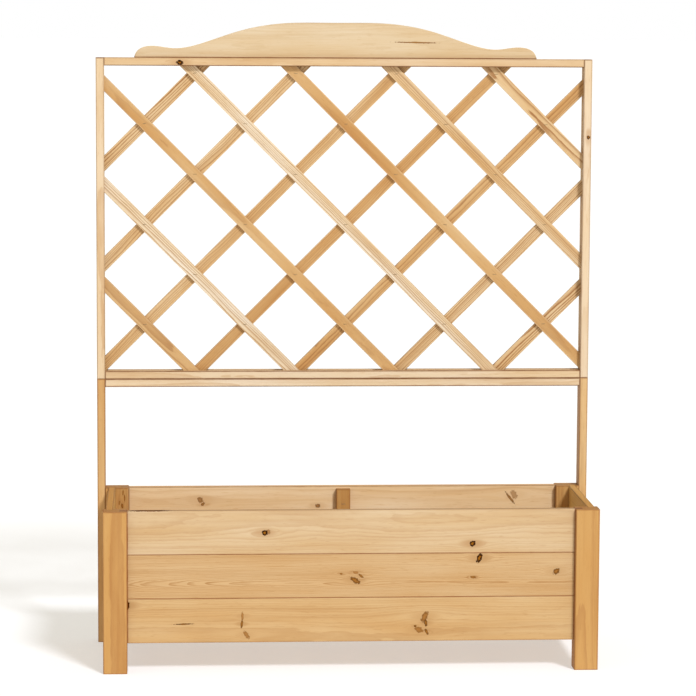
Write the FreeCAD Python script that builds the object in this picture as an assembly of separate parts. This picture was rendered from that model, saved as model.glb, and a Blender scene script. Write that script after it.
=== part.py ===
# Planter with trellis: a floor box of tongued boards housed in four grooved
# legs, and behind it a low frame on two posts that carries a lattice panel
# with a shaped crown board.
# Millimetres. +X right as seen from the front, -Y front, +Z up.
# The origin is the middle of the footprint, on the floor.

import FreeCAD, Part
import math
import os

os.makedirs("parts", exist_ok=True)

Vector = FreeCAD.Vector

# ---------------------------------------------------------------- sizes

BOX_WIDTH = 1200.0          # over the outer faces of the legs
BOX_DEPTH = 410.0           # over the front and rear faces of the legs
LEG_HEIGHT = 395.0
LEG_WIDTH = 58.0            # along X
LEG_DEPTH = 50.0            # along Y
LEG_ROUND = 3.0             # radius on the upright leg edges

BOARD_COVER = 107.5         # face height of one board, tongue not counted
BOARD_THICKNESS = 18.0
BOARD_COUNT = 3
BOARD_CHAMFER = 1.0         # meeting edges of the boards
TONGUE_THICKNESS = 6.0
TONGUE_HEIGHT = 6.0
TONGUE_GAP = 0.3            # round the tongue, per side

FRONT_SETBACK = 14.0        # leg face to the face of the front boards
SIDE_SETBACK = 7.0          # leg face to the face of the side boards
FRONT_HOUSING = 18.0        # groove depth for the front and back boards
SIDE_HOUSING = 15.0         # groove depth for the side boards
HOUSING_GAP = 0.25          # beside a board in its groove, per side
END_GAP = 0.5               # past the end of a board in its groove

BATTEN_WIDTH = 35.0
BATTEN_THICKNESS = 18.0
BATTEN_DROP = 6.0           # batten top below the board edge

BEARER_SIZE = 25.0          # square section
BEARER_RISE = 6.0           # above the lower edge of the boards
FLOOR_THICKNESS = 16.0
FLOOR_COUNT = 8
FLOOR_SLOT = 10.0           # drain slot between two floor boards
FLOOR_GAP = 1.0             # floor board to the walls and legs

FRAME_THICKNESS = 20.0      # posts, stiles and rails, seen from the front
FRAME_DEPTH = 45.0
FRAME_CHAMFER = 1.2
TENON_LENGTH = 12.0         # rail ends let into the posts and stiles
TENON_THICKNESS = 7.0
TENON_WIDTH = 30.0
TENON_GAP = 0.2
LOWER_FRAME_HEIGHT = 671.0
PANEL_HEIGHT = 803.0

SLAT_WIDTH = 28.5
SLAT_THICKNESS = 8.0
SLAT_HOUSING = 8.0          # groove depth for the slat ends
SLAT_GAP = 0.3              # beside and past the slats in the groove
LATTICE_PITCH = 251.5       # crossing to crossing, level or upright
LATTICE_RISE = 368.0        # middle crossing above the opening's lower edge
LATTICE_SHIFT = 3.0         # middle crossing right of the middle
MIDDLE_SLAT = 4             # number in the name of the slats that meet there

CROWN_LENGTH = 1006.0
CROWN_HEIGHT = 88.0
CROWN_THICKNESS = 20.0
CROWN_SHIFT = -22.0         # crown middle right of the middle
CROWN_CHAMFER = 1.5
SHOULDER_HEIGHT = 29.0      # rounded shoulder at each end of the crown
SHOULDER_RUN = 40.0         # end of the crown to the top of its shoulder
DIP_HEIGHT = 23.5           # lowest point of the hollow inside the shoulder
DIP_RUN = 96.0              # end of the crown to that point

STAPLE_CROWN = 10.0
STAPLE_WIRE = 1.2           # wire width
STAPLE_PROUD = 0.7          # crown above the slat face
STAPLE_HOLD = 4.5           # leg length in the second piece
WALL_STAPLE_HOLD = 13.0     # the same, for battens and bearers
STAPLE_GAP = 0.15
BATTEN_STAPLE_RISE = 64.0   # above the lower edge of each board
BEARER_STAPLE_INSET = 80.0  # end staples to the legs
BEARER_STAPLE_STEP = 300.0  # the wanted distance between two staples

SCREW_HEAD = 4.0            # head radius
SCREW_SHANK = 2.0           # shank radius
SCREW_HEAD_DEPTH = 2.6
SCREW_GAP = 0.12
SCREW_SINK = 0.3            # head below the surface
SCREW_HOLD = 28.0           # screw length in the second piece
JOINING_SCREW_HOLD = 15.0   # the same, for the panel on the cross rail
POST_SCREW_LOW = 90.0       # lower post screws above the floor
POST_SCREW_DROP = 60.0      # upper post screws below the leg top

# ------------------------------------------------------- derived places

leg_x = BOX_WIDTH / 2 - LEG_WIDTH               # inner face of a leg
leg_y = BOX_DEPTH / 2 - LEG_DEPTH
board_bottom = LEG_HEIGHT - BOARD_COUNT * BOARD_COVER
front_face = BOX_DEPTH / 2 - FRONT_SETBACK      # outer face of front and back boards
front_inner = front_face - BOARD_THICKNESS
side_face = BOX_WIDTH / 2 - SIDE_SETBACK
side_inner = side_face - BOARD_THICKNESS

bearer_bottom = board_bottom + BEARER_RISE
floor_bottom = bearer_bottom + BEARER_SIZE
floor_top = floor_bottom + FLOOR_THICKNESS

post_inner = BOX_WIDTH / 2                      # posts stand against the legs
post_outer = post_inner + FRAME_THICKNESS
frame_rear = BOX_DEPTH / 2
frame_front = frame_rear - FRAME_DEPTH
frame_middle = (frame_front + frame_rear) / 2

panel_bottom = LOWER_FRAME_HEIGHT
panel_top = panel_bottom + PANEL_HEIGHT
opening_bottom = panel_bottom + FRAME_THICKNESS
opening_top = panel_top - FRAME_THICKNESS

crossing_z = opening_bottom + LATTICE_RISE      # middle crossing of the lattice

pieces = {}


def block(x0, x1, y0, y1, z0, z1):
    return Part.makeBox(x1 - x0, y1 - y0, z1 - z0, Vector(x0, y0, z0))


def edges_along(shape, axis):
    # straight edges that run along one axis
    found = []
    for edge in shape.Edges:
        run = edge.Vertexes[-1].Point - edge.Vertexes[0].Point
        if abs(run.Length - abs(run.dot(axis))) < 1e-6 and run.Length > 1e-6:
            found.append(edge)
    return found


def stick(x0, x1, y0, y1, z0, z1, axis):
    # planed stock with its four long edges taken off
    bar = block(x0, x1, y0, y1, z0, z1)
    return bar.makeChamfer(FRAME_CHAMFER, edges_along(bar, axis))


def mirrored(shape, normal):
    return shape.mirror(Vector(0, 0, 0), normal)


ALONG_X = Vector(1, 0, 0)
ALONG_Y = Vector(0, 1, 0)
ALONG_Z = Vector(0, 0, 1)

# ----------------------------------------------------------------- legs


def make_leg():
    # front right leg, with stopped grooves open at the top
    half_width = BOX_WIDTH / 2
    half_depth = BOX_DEPTH / 2
    leg = block(leg_x, half_width, -half_depth, -leg_y, 0, LEG_HEIGHT)
    leg = leg.makeFillet(LEG_ROUND, edges_along(leg, ALONG_Z))
    front_groove = block(
        leg_x - 1, leg_x + FRONT_HOUSING,
        -front_face - HOUSING_GAP, -front_inner + HOUSING_GAP,
        board_bottom, LEG_HEIGHT + 1)
    side_groove = block(
        side_inner - HOUSING_GAP, side_face + HOUSING_GAP,
        -leg_y - SIDE_HOUSING, -leg_y + 1,
        board_bottom, LEG_HEIGHT + 1)
    return leg.cut([front_groove, side_groove])


leg = make_leg()
pieces["leg_front_right"] = leg
pieces["leg_front_left"] = mirrored(leg, ALONG_X)
pieces["leg_rear_right"] = mirrored(leg, ALONG_Y)
pieces["leg_rear_left"] = mirrored(pieces["leg_rear_right"], ALONG_X)

# --------------------------------------------------------------- boards


def board_section(level):
    # outline across a board: first number runs through the thickness,
    # second number runs up from the lower edge of the face
    half = BOARD_THICKNESS / 2
    ease = BOARD_CHAMFER
    groove = TONGUE_THICKNESS / 2 + TONGUE_GAP
    groove_depth = TONGUE_HEIGHT + 2 * TONGUE_GAP
    tongue = TONGUE_THICKNESS / 2
    outline = [(-half, ease), (-half + ease, 0)]
    if level > 0:
        outline += [(-groove, 0), (-groove, groove_depth)]
        outline += [(groove, groove_depth), (groove, 0)]
    outline += [(half - ease, 0), (half, ease)]
    outline += [(half, BOARD_COVER - ease), (half - ease, BOARD_COVER)]
    if level < BOARD_COUNT - 1:
        outline += [(tongue, BOARD_COVER), (tongue, BOARD_COVER + TONGUE_HEIGHT)]
        outline += [(-tongue, BOARD_COVER + TONGUE_HEIGHT), (-tongue, BOARD_COVER)]
    outline += [(-half + ease, BOARD_COVER), (-half, BOARD_COVER - ease)]
    return outline


def long_board(level):
    # runs along X, its front face at -front_face
    half_length = leg_x + FRONT_HOUSING - END_GAP
    middle = -(front_face + front_inner) / 2
    bottom = board_bottom + level * BOARD_COVER
    points = [Vector(-half_length, middle + t, bottom + z) for t, z in board_section(level)]
    face = Part.Face(Part.makePolygon(points + points[:1]))
    return face.extrude(Vector(2 * half_length, 0, 0))


def short_board(level):
    # runs along Y, its outer face at side_face
    half_length = leg_y + SIDE_HOUSING - END_GAP
    middle = (side_face + side_inner) / 2
    bottom = board_bottom + level * BOARD_COVER
    points = [Vector(middle + t, -half_length, bottom + z) for t, z in board_section(level)]
    face = Part.Face(Part.makePolygon(points + points[:1]))
    return face.extrude(Vector(0, 2 * half_length, 0))


LEVEL_NAMES = ["lower", "middle", "upper"]

for level, level_name in enumerate(LEVEL_NAMES[:BOARD_COUNT]):
    front_board = long_board(level)
    right_board = short_board(level)
    pieces["front_board_" + level_name] = front_board
    pieces["back_board_" + level_name] = mirrored(front_board, ALONG_Y)
    pieces["right_side_board_" + level_name] = right_board
    pieces["left_side_board_" + level_name] = mirrored(right_board, ALONG_X)

# ------------------------------------------------ battens, bearers, floor

front_batten = stick(
    -BATTEN_WIDTH / 2, BATTEN_WIDTH / 2,
    -front_inner, -front_inner + BATTEN_THICKNESS,
    floor_top, LEG_HEIGHT - BATTEN_DROP, ALONG_Z)
pieces["front_batten"] = front_batten
pieces["back_batten"] = mirrored(front_batten, ALONG_Y)

front_bearer = block(
    -leg_x + FLOOR_GAP, leg_x - FLOOR_GAP,
    -front_inner, -front_inner + BEARER_SIZE,
    bearer_bottom, floor_bottom)
pieces["floor_bearer_front"] = front_bearer
pieces["floor_bearer_rear"] = mirrored(front_bearer, ALONG_Y)

floor_half_length = side_inner - FLOOR_GAP
floor_width = (2 * floor_half_length - (FLOOR_COUNT - 1) * FLOOR_SLOT) / FLOOR_COUNT
floor_half_depth = front_inner - FLOOR_GAP

for index in range(FLOOR_COUNT):
    left = -floor_half_length + index * (floor_width + FLOOR_SLOT)
    floor_board = block(
        left, left + floor_width,
        -floor_half_depth, floor_half_depth,
        floor_bottom, floor_top)
    # the two end boards are notched round the legs
    notches = []
    for side_x in (-1, 1):
        for side_y in (-1, 1):
            notch = block(
                leg_x - FLOOR_GAP, BOX_WIDTH / 2,
                leg_y - FLOOR_GAP, BOX_DEPTH / 2,
                floor_bottom - 1, floor_top + 1)
            if side_x < 0:
                notch = mirrored(notch, ALONG_X)
            if side_y < 0:
                notch = mirrored(notch, ALONG_Y)
            notches.append(notch)
    if index in (0, FLOOR_COUNT - 1):
        floor_board = floor_board.cut(notches)
    pieces["floor_board_%d" % (index + 1)] = floor_board

# ------------------------------------------------------ frame joints


def tenon(z, gap=0.0):
    # right-hand tenon round the height z; with a gap it is its mortise
    half_width = TENON_WIDTH / 2 + gap
    half_thickness = TENON_THICKNESS / 2 + gap
    return block(
        post_inner - 1, post_inner + TENON_LENGTH + 2 * gap,
        frame_middle - half_width, frame_middle + half_width,
        z - half_thickness, z + half_thickness)


def tenoned(rail, z):
    right = tenon(z)
    return rail.fuse([right, mirrored(right, ALONG_X)]).removeSplitter()


# ---------------------------------------------------------- lower frame

cross_rail_bottom = LOWER_FRAME_HEIGHT - FRAME_THICKNESS
cross_tenon = LOWER_FRAME_HEIGHT - FRAME_THICKNESS / 2
right_post = stick(
    post_inner, post_outer, frame_front, frame_rear,
    0, LOWER_FRAME_HEIGHT, ALONG_Z)
right_post = right_post.cut(tenon(cross_tenon, TENON_GAP))
pieces["trellis_post_right"] = right_post
pieces["trellis_post_left"] = mirrored(right_post, ALONG_X)

cross_rail = stick(
    -post_inner, post_inner, frame_front, frame_rear,
    cross_rail_bottom, LOWER_FRAME_HEIGHT, ALONG_X)
pieces["lower_cross_rail"] = tenoned(cross_rail, cross_tenon)

# ---------------------------------------------------------- panel frame

groove_front = frame_middle - SLAT_THICKNESS - SLAT_GAP
groove_rear = frame_middle + SLAT_THICKNESS + SLAT_GAP
groove_top = opening_top + SLAT_HOUSING
groove_bottom = opening_bottom - SLAT_HOUSING
# the mortises start where the slat groove ends
top_tenon = groove_top + TENON_GAP + TENON_THICKNESS / 2
bottom_tenon = groove_bottom - TENON_GAP - TENON_THICKNESS / 2

right_stile = stick(
    post_inner, post_outer, frame_front, frame_rear,
    panel_bottom, panel_top, ALONG_Z)
stile_groove = block(
    post_inner - 1, post_inner + SLAT_HOUSING,
    groove_front, groove_rear, groove_bottom, groove_top)
mortises = [tenon(top_tenon, TENON_GAP), tenon(bottom_tenon, TENON_GAP)]
right_stile = right_stile.cut([stile_groove] + mortises)
pieces["panel_stile_right"] = right_stile
pieces["panel_stile_left"] = mirrored(right_stile, ALONG_X)

top_rail = stick(
    -post_inner, post_inner, frame_front, frame_rear,
    opening_top, panel_top, ALONG_X)
top_groove = block(
    -post_inner, post_inner, groove_front, groove_rear,
    opening_top - 1, groove_top)
pieces["panel_top_rail"] = tenoned(top_rail.cut(top_groove), top_tenon)

bottom_rail = stick(
    -post_inner, post_inner, frame_front, frame_rear,
    panel_bottom, opening_bottom, ALONG_X)
rail_groove = block(
    -post_inner, post_inner, groove_front, groove_rear,
    groove_bottom, opening_bottom + 1)
pieces["panel_bottom_rail"] = tenoned(bottom_rail.cut(rail_groove), bottom_tenon)

# -------------------------------------------------------------- lattice

slat_reach = SLAT_HOUSING - SLAT_GAP
lattice_outline = block(
    -post_inner - slat_reach, post_inner + slat_reach,
    frame_front, frame_rear,
    opening_bottom - slat_reach, opening_top + slat_reach)


def slat_steps(side):
    # pitches from the middle crossing to each slat that crosses the opening;
    # side is 1 for the slats that fall to the right, -1 for those that rise
    below = side * LATTICE_SHIFT + post_inner + LATTICE_RISE - SLAT_WIDTH
    above = opening_top - crossing_z - side * LATTICE_SHIFT + post_inner - SLAT_WIDTH
    first = math.ceil(-below / LATTICE_PITCH)
    last = math.floor(above / LATTICE_PITCH)
    return range(first, last + 1)


def slat(step, falling):
    # one diagonal slat, trimmed to the frame opening and its groove
    length = 2 * (post_outer + PANEL_HEIGHT)
    y0 = frame_middle - SLAT_THICKNESS if falling else frame_middle
    bar = block(
        -length / 2, length / 2, y0, y0 + SLAT_THICKNESS,
        -SLAT_WIDTH / 2, SLAT_WIDTH / 2)
    turn = 45 if falling else -45
    bar.rotate(Vector(0, 0, 0), ALONG_Y, turn)
    side = 1 if falling else -1
    shift = step * LATTICE_PITCH / 2
    bar.translate(Vector(LATTICE_SHIFT + side * shift, 0, crossing_z + shift))
    return bar.common(lattice_outline).Solids[0]


# numbered from the middle outwards, so a slat keeps its name at any width
front_slats = {step: "lattice_front_slat_%d" % (MIDDLE_SLAT + step) for step in slat_steps(1)}
rear_slats = {step: "lattice_rear_slat_%d" % (MIDDLE_SLAT + step) for step in slat_steps(-1)}
for step, name in front_slats.items():
    pieces[name] = slat(step, True)
for step, name in rear_slats.items():
    pieces[name] = slat(step, False)

# ---------------------------------------------------------- crown board


def crown_outline():
    # upper edge from the right end over the middle to the left end; between
    # the hollow and the middle the points follow an S that ends in a flat top
    half = CROWN_LENGTH / 2
    dip_x = half - DIP_RUN
    rise = CROWN_HEIGHT - DIP_HEIGHT
    right = [(half, 0.0)]
    right += [(half - 0.35 * SHOULDER_RUN, 0.76 * SHOULDER_HEIGHT)]
    right += [(half - SHOULDER_RUN, SHOULDER_HEIGHT)]
    right += [(dip_x, DIP_HEIGHT)]
    for along, up in ((0.82, 0.2), (0.59, 0.68), (0.33, 0.97)):
        right += [(along * dip_x, DIP_HEIGHT + up * rise)]
    left = [(-x, z) for x, z in reversed(right)]
    return right + [(0.0, CROWN_HEIGHT)] + left


crown_front = frame_middle - CROWN_THICKNESS / 2
crown_points = [Vector(CROWN_SHIFT + x, crown_front, panel_top + z) for x, z in crown_outline()]
upper_edge = Part.BSplineCurve()
upper_edge.interpolate(crown_points)
lower_edge = Part.makeLine(crown_points[-1], crown_points[0])
crown_face = Part.Face(Part.Wire([upper_edge.toShape(), lower_edge]))
crown = crown_face.extrude(Vector(0, CROWN_THICKNESS, 0))
arch_edges = [e for e in crown.Edges if e.Length > 1.005 * CROWN_LENGTH]
crown = crown.makeChamfer(CROWN_CHAMFER, arch_edges)
pieces["crown_board"] = crown

# ------------------------------------------------------------ fasteners


def aimed(shape, place, direction):
    # turns a fastener drawn pointing down so that it points along direction
    turn = FreeCAD.Rotation(Vector(0, 0, -1), direction)
    shape.Placement = FreeCAD.Placement(place, turn)
    return shape


def screw(length, gap=0.0):
    # countersunk screw, the piece's surface at the origin and the point
    # downwards; with a gap it is the hole for the same screw
    tip = -length - gap
    neck = -SCREW_SINK - SCREW_HEAD_DEPTH
    shank = Part.makeCylinder(SCREW_SHANK + gap, neck - tip, Vector(0, 0, tip))
    head = Part.makeCone(
        SCREW_SHANK + gap, SCREW_HEAD + gap, SCREW_HEAD_DEPTH, Vector(0, 0, neck))
    body = shank.fuse(head)
    if gap:
        mouth = Part.makeCylinder(
            SCREW_HEAD + gap, SCREW_SINK + 1, Vector(0, 0, -SCREW_SINK))
        body = body.fuse(mouth)
    return body.removeSplitter()


def drill(names, hole):
    for name in names:
        pieces[name] = pieces[name].cut(hole)


def add_screws(group, length, places):
    # places: (point on the surface, direction, names of the pieces it enters)
    bodies = []
    for place, direction, names in places:
        drill(names, aimed(screw(length, SCREW_GAP), place, direction))
        bodies.append(aimed(screw(length), place, direction))
    pieces[group] = Part.makeCompound(bodies)


places = []
for side, sign in (("left", -1), ("right", 1)):
    for z in (POST_SCREW_LOW, LEG_HEIGHT - POST_SCREW_DROP):
        place = Vector(sign * post_outer, frame_middle, z)
        names = ["trellis_post_" + side, "leg_rear_" + side]
        places.append((place, Vector(-sign, 0, 0), names))
add_screws("post_screws", FRAME_THICKNESS + SCREW_HOLD, places)

places = []
for cells in (-1, 1):
    x = LATTICE_SHIFT + cells * LATTICE_PITCH
    place = Vector(x, (groove_rear + frame_rear) / 2, opening_bottom)
    places.append((place, Vector(0, 0, -1), ["panel_bottom_rail", "lower_cross_rail"]))
add_screws("panel_joining_screws", FRAME_THICKNESS + JOINING_SCREW_HOLD, places)

places = []
for cells in (-1, 1):
    x = LATTICE_SHIFT + cells * LATTICE_PITCH
    place = Vector(x, frame_middle, groove_top)
    places.append((place, Vector(0, 0, 1), ["panel_top_rail", "crown_board"]))
add_screws("crown_screws", panel_top - groove_top + SCREW_HOLD, places)

# -------------------------------------------------------------- staples


def staple(leg_length, gap=0.0):
    # flat wire staple with its crown along X and its legs along +Y, seated
    # at the origin; with a gap it is the pair of slots its legs stand in
    half = STAPLE_CROWN / 2
    wire = STAPLE_WIRE / 2 + gap
    start = -1.0 if gap else -STAPLE_PROUD
    right_leg = block(
        half - STAPLE_WIRE - gap, half + gap,
        start, leg_length + gap, -wire, wire)
    legs = [right_leg, mirrored(right_leg, ALONG_X)]
    if gap:
        return Part.makeCompound(legs)
    crown_wire = block(-half, half, -STAPLE_PROUD, 0, -wire, wire)
    return crown_wire.fuse(legs).removeSplitter()


def add_staples(group, leg_length, places):
    # places: (point on the surface, True if driven towards the front, names)
    bodies = []
    for place, frontward, names in places:
        body = staple(leg_length)
        slots = staple(leg_length, STAPLE_GAP)
        if frontward:
            body = mirrored(body, ALONG_Y)
            slots = mirrored(slots, ALONG_Y)
        body.translate(place)
        slots.translate(place)
        drill(names, slots)
        bodies.append(body)
    pieces[group] = Part.makeCompound(bodies)


places = []
reach_x = post_inner - STAPLE_CROWN
for front_step, front_name in front_slats.items():
    for rear_step, rear_name in rear_slats.items():
        x = LATTICE_SHIFT + (front_step - rear_step) * LATTICE_PITCH / 2
        z = crossing_z + (front_step + rear_step) * LATTICE_PITCH / 2
        inside_z = opening_bottom + STAPLE_CROWN < z < opening_top - STAPLE_CROWN
        if abs(x) < reach_x and inside_z:
            place = Vector(x, frame_middle - SLAT_THICKNESS, z)
            places.append((place, False, [front_name, rear_name]))
add_staples("lattice_staples", SLAT_THICKNESS + STAPLE_HOLD, places)

WALLS = [("front", "front", -1), ("back", "rear", 1)]

places = []
for wall, end, sign in WALLS:
    for level, level_name in enumerate(LEVEL_NAMES[:BOARD_COUNT]):
        z = board_bottom + level * BOARD_COVER + BATTEN_STAPLE_RISE
        place = Vector(0, sign * (front_inner - BATTEN_THICKNESS), z)
        names = [wall + "_batten", wall + "_board_" + level_name]
        places.append((place, sign < 0, names))
add_staples("batten_staples", BATTEN_THICKNESS + WALL_STAPLE_HOLD, places)

places = []
staple_reach = leg_x - BEARER_STAPLE_INSET
staple_spaces = max(1, round(2 * staple_reach / BEARER_STAPLE_STEP))
for wall, end, sign in WALLS:
    for index in range(staple_spaces + 1):
        place = Vector(
            -staple_reach + index * 2 * staple_reach / staple_spaces,
            sign * (front_inner - BEARER_SIZE),
            bearer_bottom + BEARER_SIZE / 2)
        names = ["floor_bearer_" + end, wall + "_board_lower"]
        places.append((place, sign < 0, names))
add_staples("bearer_staples", BEARER_SIZE + WALL_STAPLE_HOLD, places)

# --------------------------------------------------------------- export

for name, shape in pieces.items():
    shape.exportStep(os.path.join("parts", name + ".step"))
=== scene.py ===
import math
import random
from functools import partial

import bmesh
import bpy
from mathutils import Matrix, Vector


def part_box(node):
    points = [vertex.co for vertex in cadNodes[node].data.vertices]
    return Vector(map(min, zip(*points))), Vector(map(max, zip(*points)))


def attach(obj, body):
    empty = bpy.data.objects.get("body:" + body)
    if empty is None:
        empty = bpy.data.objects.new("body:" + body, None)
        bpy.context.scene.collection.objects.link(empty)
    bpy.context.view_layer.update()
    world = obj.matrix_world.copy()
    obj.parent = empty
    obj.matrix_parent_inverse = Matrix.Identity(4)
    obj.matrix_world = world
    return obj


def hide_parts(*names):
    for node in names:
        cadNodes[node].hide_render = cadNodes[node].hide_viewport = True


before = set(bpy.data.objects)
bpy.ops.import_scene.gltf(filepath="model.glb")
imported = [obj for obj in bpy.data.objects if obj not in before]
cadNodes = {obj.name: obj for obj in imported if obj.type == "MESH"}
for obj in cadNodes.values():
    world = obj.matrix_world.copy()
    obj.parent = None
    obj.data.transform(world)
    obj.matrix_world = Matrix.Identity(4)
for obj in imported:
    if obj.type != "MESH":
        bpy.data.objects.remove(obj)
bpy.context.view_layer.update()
mm = 0.001

xAxis, yAxis, zAxis = Vector((1, 0, 0)), Vector((0, 1, 0)), Vector((0, 0, 1))
front, back, left, right, up = -yAxis, yAxis, -xAxis, xAxis, zAxis

# the eye stands a little left of the middle, at the height of the crown;
# place in metres, angles in degrees, lens and film width in mm
view = {"place": (-0.4523, -6.9905, 1.5561), "turn": 3.70, "down": 6.43, "roll": 0.30, "lens": 148.1, "film": 36}


def placeCamera():
    turn, down, roll = (math.radians(view[k]) for k in ("turn", "down", "roll"))
    ahead = Vector((math.sin(turn) * math.cos(down), math.cos(turn) * math.cos(down), -math.sin(down)))
    level = Vector((math.cos(turn), -math.sin(turn), 0))
    upright = level.cross(ahead)
    side = level * math.cos(roll) + upright * math.sin(roll)
    top = upright * math.cos(roll) - level * math.sin(roll)
    camera = bpy.data.objects.new("camera", bpy.data.cameras.new("camera"))
    camera.data.lens = view["lens"]
    camera.data.sensor_width = view["film"]
    camera.matrix_world = Matrix.Translation(view["place"]) @ Matrix((side, top, -ahead)).transposed().to_4x4()
    bpy.context.scene.collection.objects.link(camera)
    bpy.context.scene.camera = camera


placeCamera()
print("camera placed")


def linear(code):
    # sRGB hex to the linear colour that a shader wants
    parts = [int(code[i:i + 2], 16) / 255 for i in (1, 3, 5)]
    return [c / 12.92 if c <= 0.04045 else ((c + 0.055) / 1.055) ** 2.4 for c in parts] + [1.0]


def addNode(tree, kind, wires=None, **settings):
    # adds one node and gives its outputs; wires: socket name or number -> a value,
    # the output that feeds it, or a list of outputs where the socket takes several
    node = tree.nodes.new(kind)
    for name, value in settings.items():
        setattr(node, name, value)
    for socket, value in (wires or {}).items():
        several = isinstance(value, list) and isinstance(value[0], bpy.types.NodeSocket)
        for feed in value if several else [value]:
            if isinstance(feed, bpy.types.NodeSocket):
                tree.links.new(feed, node.inputs[socket])
            else:
                node.inputs[socket].default_value = feed
    return node.outputs


def newTree(name, kind, inputs, outputs):
    # an empty node group, the function that adds to it, and the outputs of its input node
    tree = bpy.data.node_groups.new(name, kind)
    for label, socket, value in inputs:
        item = tree.interface.new_socket(label, in_out="INPUT", socket_type="NodeSocket" + socket)
        if value is not None:
            item.default_value = value
    for label, socket in outputs:
        tree.interface.new_socket(label, in_out="OUTPUT", socket_type="NodeSocket" + socket)
    add = partial(addNode, tree)
    return tree, add, add("NodeGroupInput")


# how pine grows: year rings round a pith, and grain that parts round a knot

plainGloss = 0.35  # specular level of the thin matt treatment

# a knot in shares of its radius: where each mark starts to fade in and where it is full
branch = {
    "push": 1.5, "eye": 0.28,  # how far the grain is pushed aside, and the width of that eye to its length
    "bumps": 260.0, "ragged": 1.5,  # bumps per metre of the outline, and how deep they go
    "heart": (1.1, 0.85), "ring": (0.45, 0.15), "ring middle": 0.8,
    "halo": (3.0, 0.8), "halo stretch": (0.4, 1.0, 0.0),
    "faint": 0.45, "deep": 2.2,  # powers of Depth: a faint knot is honey brown all over, a deep one nearly black
}


def knotTree():
    # moves the grain aside round one branch and marks its heart, bark ring and halo
    tree, add, given = newTree(
        "grain round a knot", "ShaderNodeTree",
        [("Straight", "Vector", None), ("Place", "Vector", None),
         ("Along", "Float", 0.0), ("Across", "Float", 0.0), ("Radius", "Float", 0.006),
         ("Stretch", "Float", 1.3), ("Tilt", "Float", 0.0), ("Depth", "Float", 1.0), ("Marks", "Vector", None)],
        [("Place", "Vector"), ("Marks", "Vector")])
    spot = add("ShaderNodeCombineXYZ", {0: given["Along"], 1: given["Across"]})
    offset = add("ShaderNodeVectorMath", {0: given["Straight"], 1: spot[0]}, operation="SUBTRACT")
    apart = add("ShaderNodeSeparateXYZ", {0: offset[0]})
    # the grain parts like water round a post, in an eye over three times as long as wide
    eyeLong = add("ShaderNodeMath", {0: apart[0], 1: branch["eye"]}, operation="MULTIPLY")
    longSquare = add("ShaderNodeMath", {0: eyeLong[0], 1: 2.0}, operation="POWER")
    eyeReach = add("ShaderNodeMath", {0: apart[1], 1: apart[1], 2: longSquare[0]}, operation="MULTIPLY_ADD")
    post = add("ShaderNodeMath", {0: given["Radius"], 1: branch["push"]}, operation="MULTIPLY")
    postSquare = add("ShaderNodeMath", {0: post[0], 1: 2.0}, operation="POWER")
    outside = add("ShaderNodeMath", {0: eyeReach[0], 1: postSquare[0]}, operation="MAXIMUM")
    push = add("ShaderNodeMath", {0: postSquare[0], 1: outside[0]}, operation="DIVIDE")
    swing = add("ShaderNodeMath", {0: apart[1], 1: push[0]}, operation="MULTIPLY")
    aside = add("ShaderNodeCombineXYZ", {1: swing[0]})
    moved = add("ShaderNodeVectorMath", {0: given["Place"], 1: aside[0]}, operation="SUBTRACT")
    # the branch itself: an oval turned by Tilt, with an uneven outline
    turned = add("ShaderNodeVectorRotate", {"Vector": offset[0], "Angle": given["Tilt"]}, rotation_type="Z_AXIS")
    oval = add("ShaderNodeSeparateXYZ", {0: turned[0]})
    shorter = add("ShaderNodeMath", {0: oval[0], 1: given["Stretch"]}, operation="DIVIDE")
    flat = add("ShaderNodeCombineXYZ", {0: shorter[0], 1: oval[1]})
    bumps = add("ShaderNodeTexNoise", {"Vector": offset[0], "Scale": branch["bumps"], "Detail": 2.0})
    depth = branch["ragged"]
    uneven = add("ShaderNodeMath", {0: bumps[0], 1: depth, 2: -depth / 2}, operation="MULTIPLY_ADD")
    distance = add("ShaderNodeVectorMath", {0: flat[0]}, operation="LENGTH")
    smoothFar = add("ShaderNodeMath", {0: distance[1], 1: given["Radius"]}, operation="DIVIDE")
    far = add("ShaderNodeMath", {0: smoothFar[0], 1: uneven[0]}, operation="ADD")
    fromRing = add("ShaderNodeMath", {0: far[0], 1: branch["ring middle"]}, operation="SUBTRACT")
    ringSide = add("ShaderNodeMath", {0: fromRing[0]}, operation="ABSOLUTE")
    haloPlace = add("ShaderNodeVectorMath", {0: offset[0], 1: branch["halo stretch"]}, operation="MULTIPLY")
    haloFar = add("ShaderNodeVectorMath", {0: haloPlace[0]}, operation="LENGTH")
    haloReach = add("ShaderNodeMath", {0: haloFar[1], 1: given["Radius"]}, operation="DIVIDE")
    faint = add("ShaderNodeMath", {0: given["Depth"], 1: branch["faint"]}, operation="POWER")
    deep = add("ShaderNodeMath", {0: given["Depth"], 1: branch["deep"]}, operation="POWER")
    marks = []
    for mark, reach, force in (
            ("heart", far, faint[0]), ("ring", ringSide, deep[0]), ("halo", haloReach, given["Depth"])):
        start, full = branch[mark]
        drawn = add("ShaderNodeMapRange", {0: reach[0], 1: start, 2: full}, interpolation_type="SMOOTHSTEP")
        marks.append(add("ShaderNodeMath", {0: drawn[0], 1: force}, operation="MULTIPLY", use_clamp=True)[0])
    packed = add("ShaderNodeCombineXYZ", dict(enumerate(marks)))
    kept = add("ShaderNodeVectorMath", {0: packed[0], 1: given["Marks"]}, operation="MAXIMUM")
    add("NodeGroupOutput", {"Place": moved[0], "Marks": kept[0]})
    return tree


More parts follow.
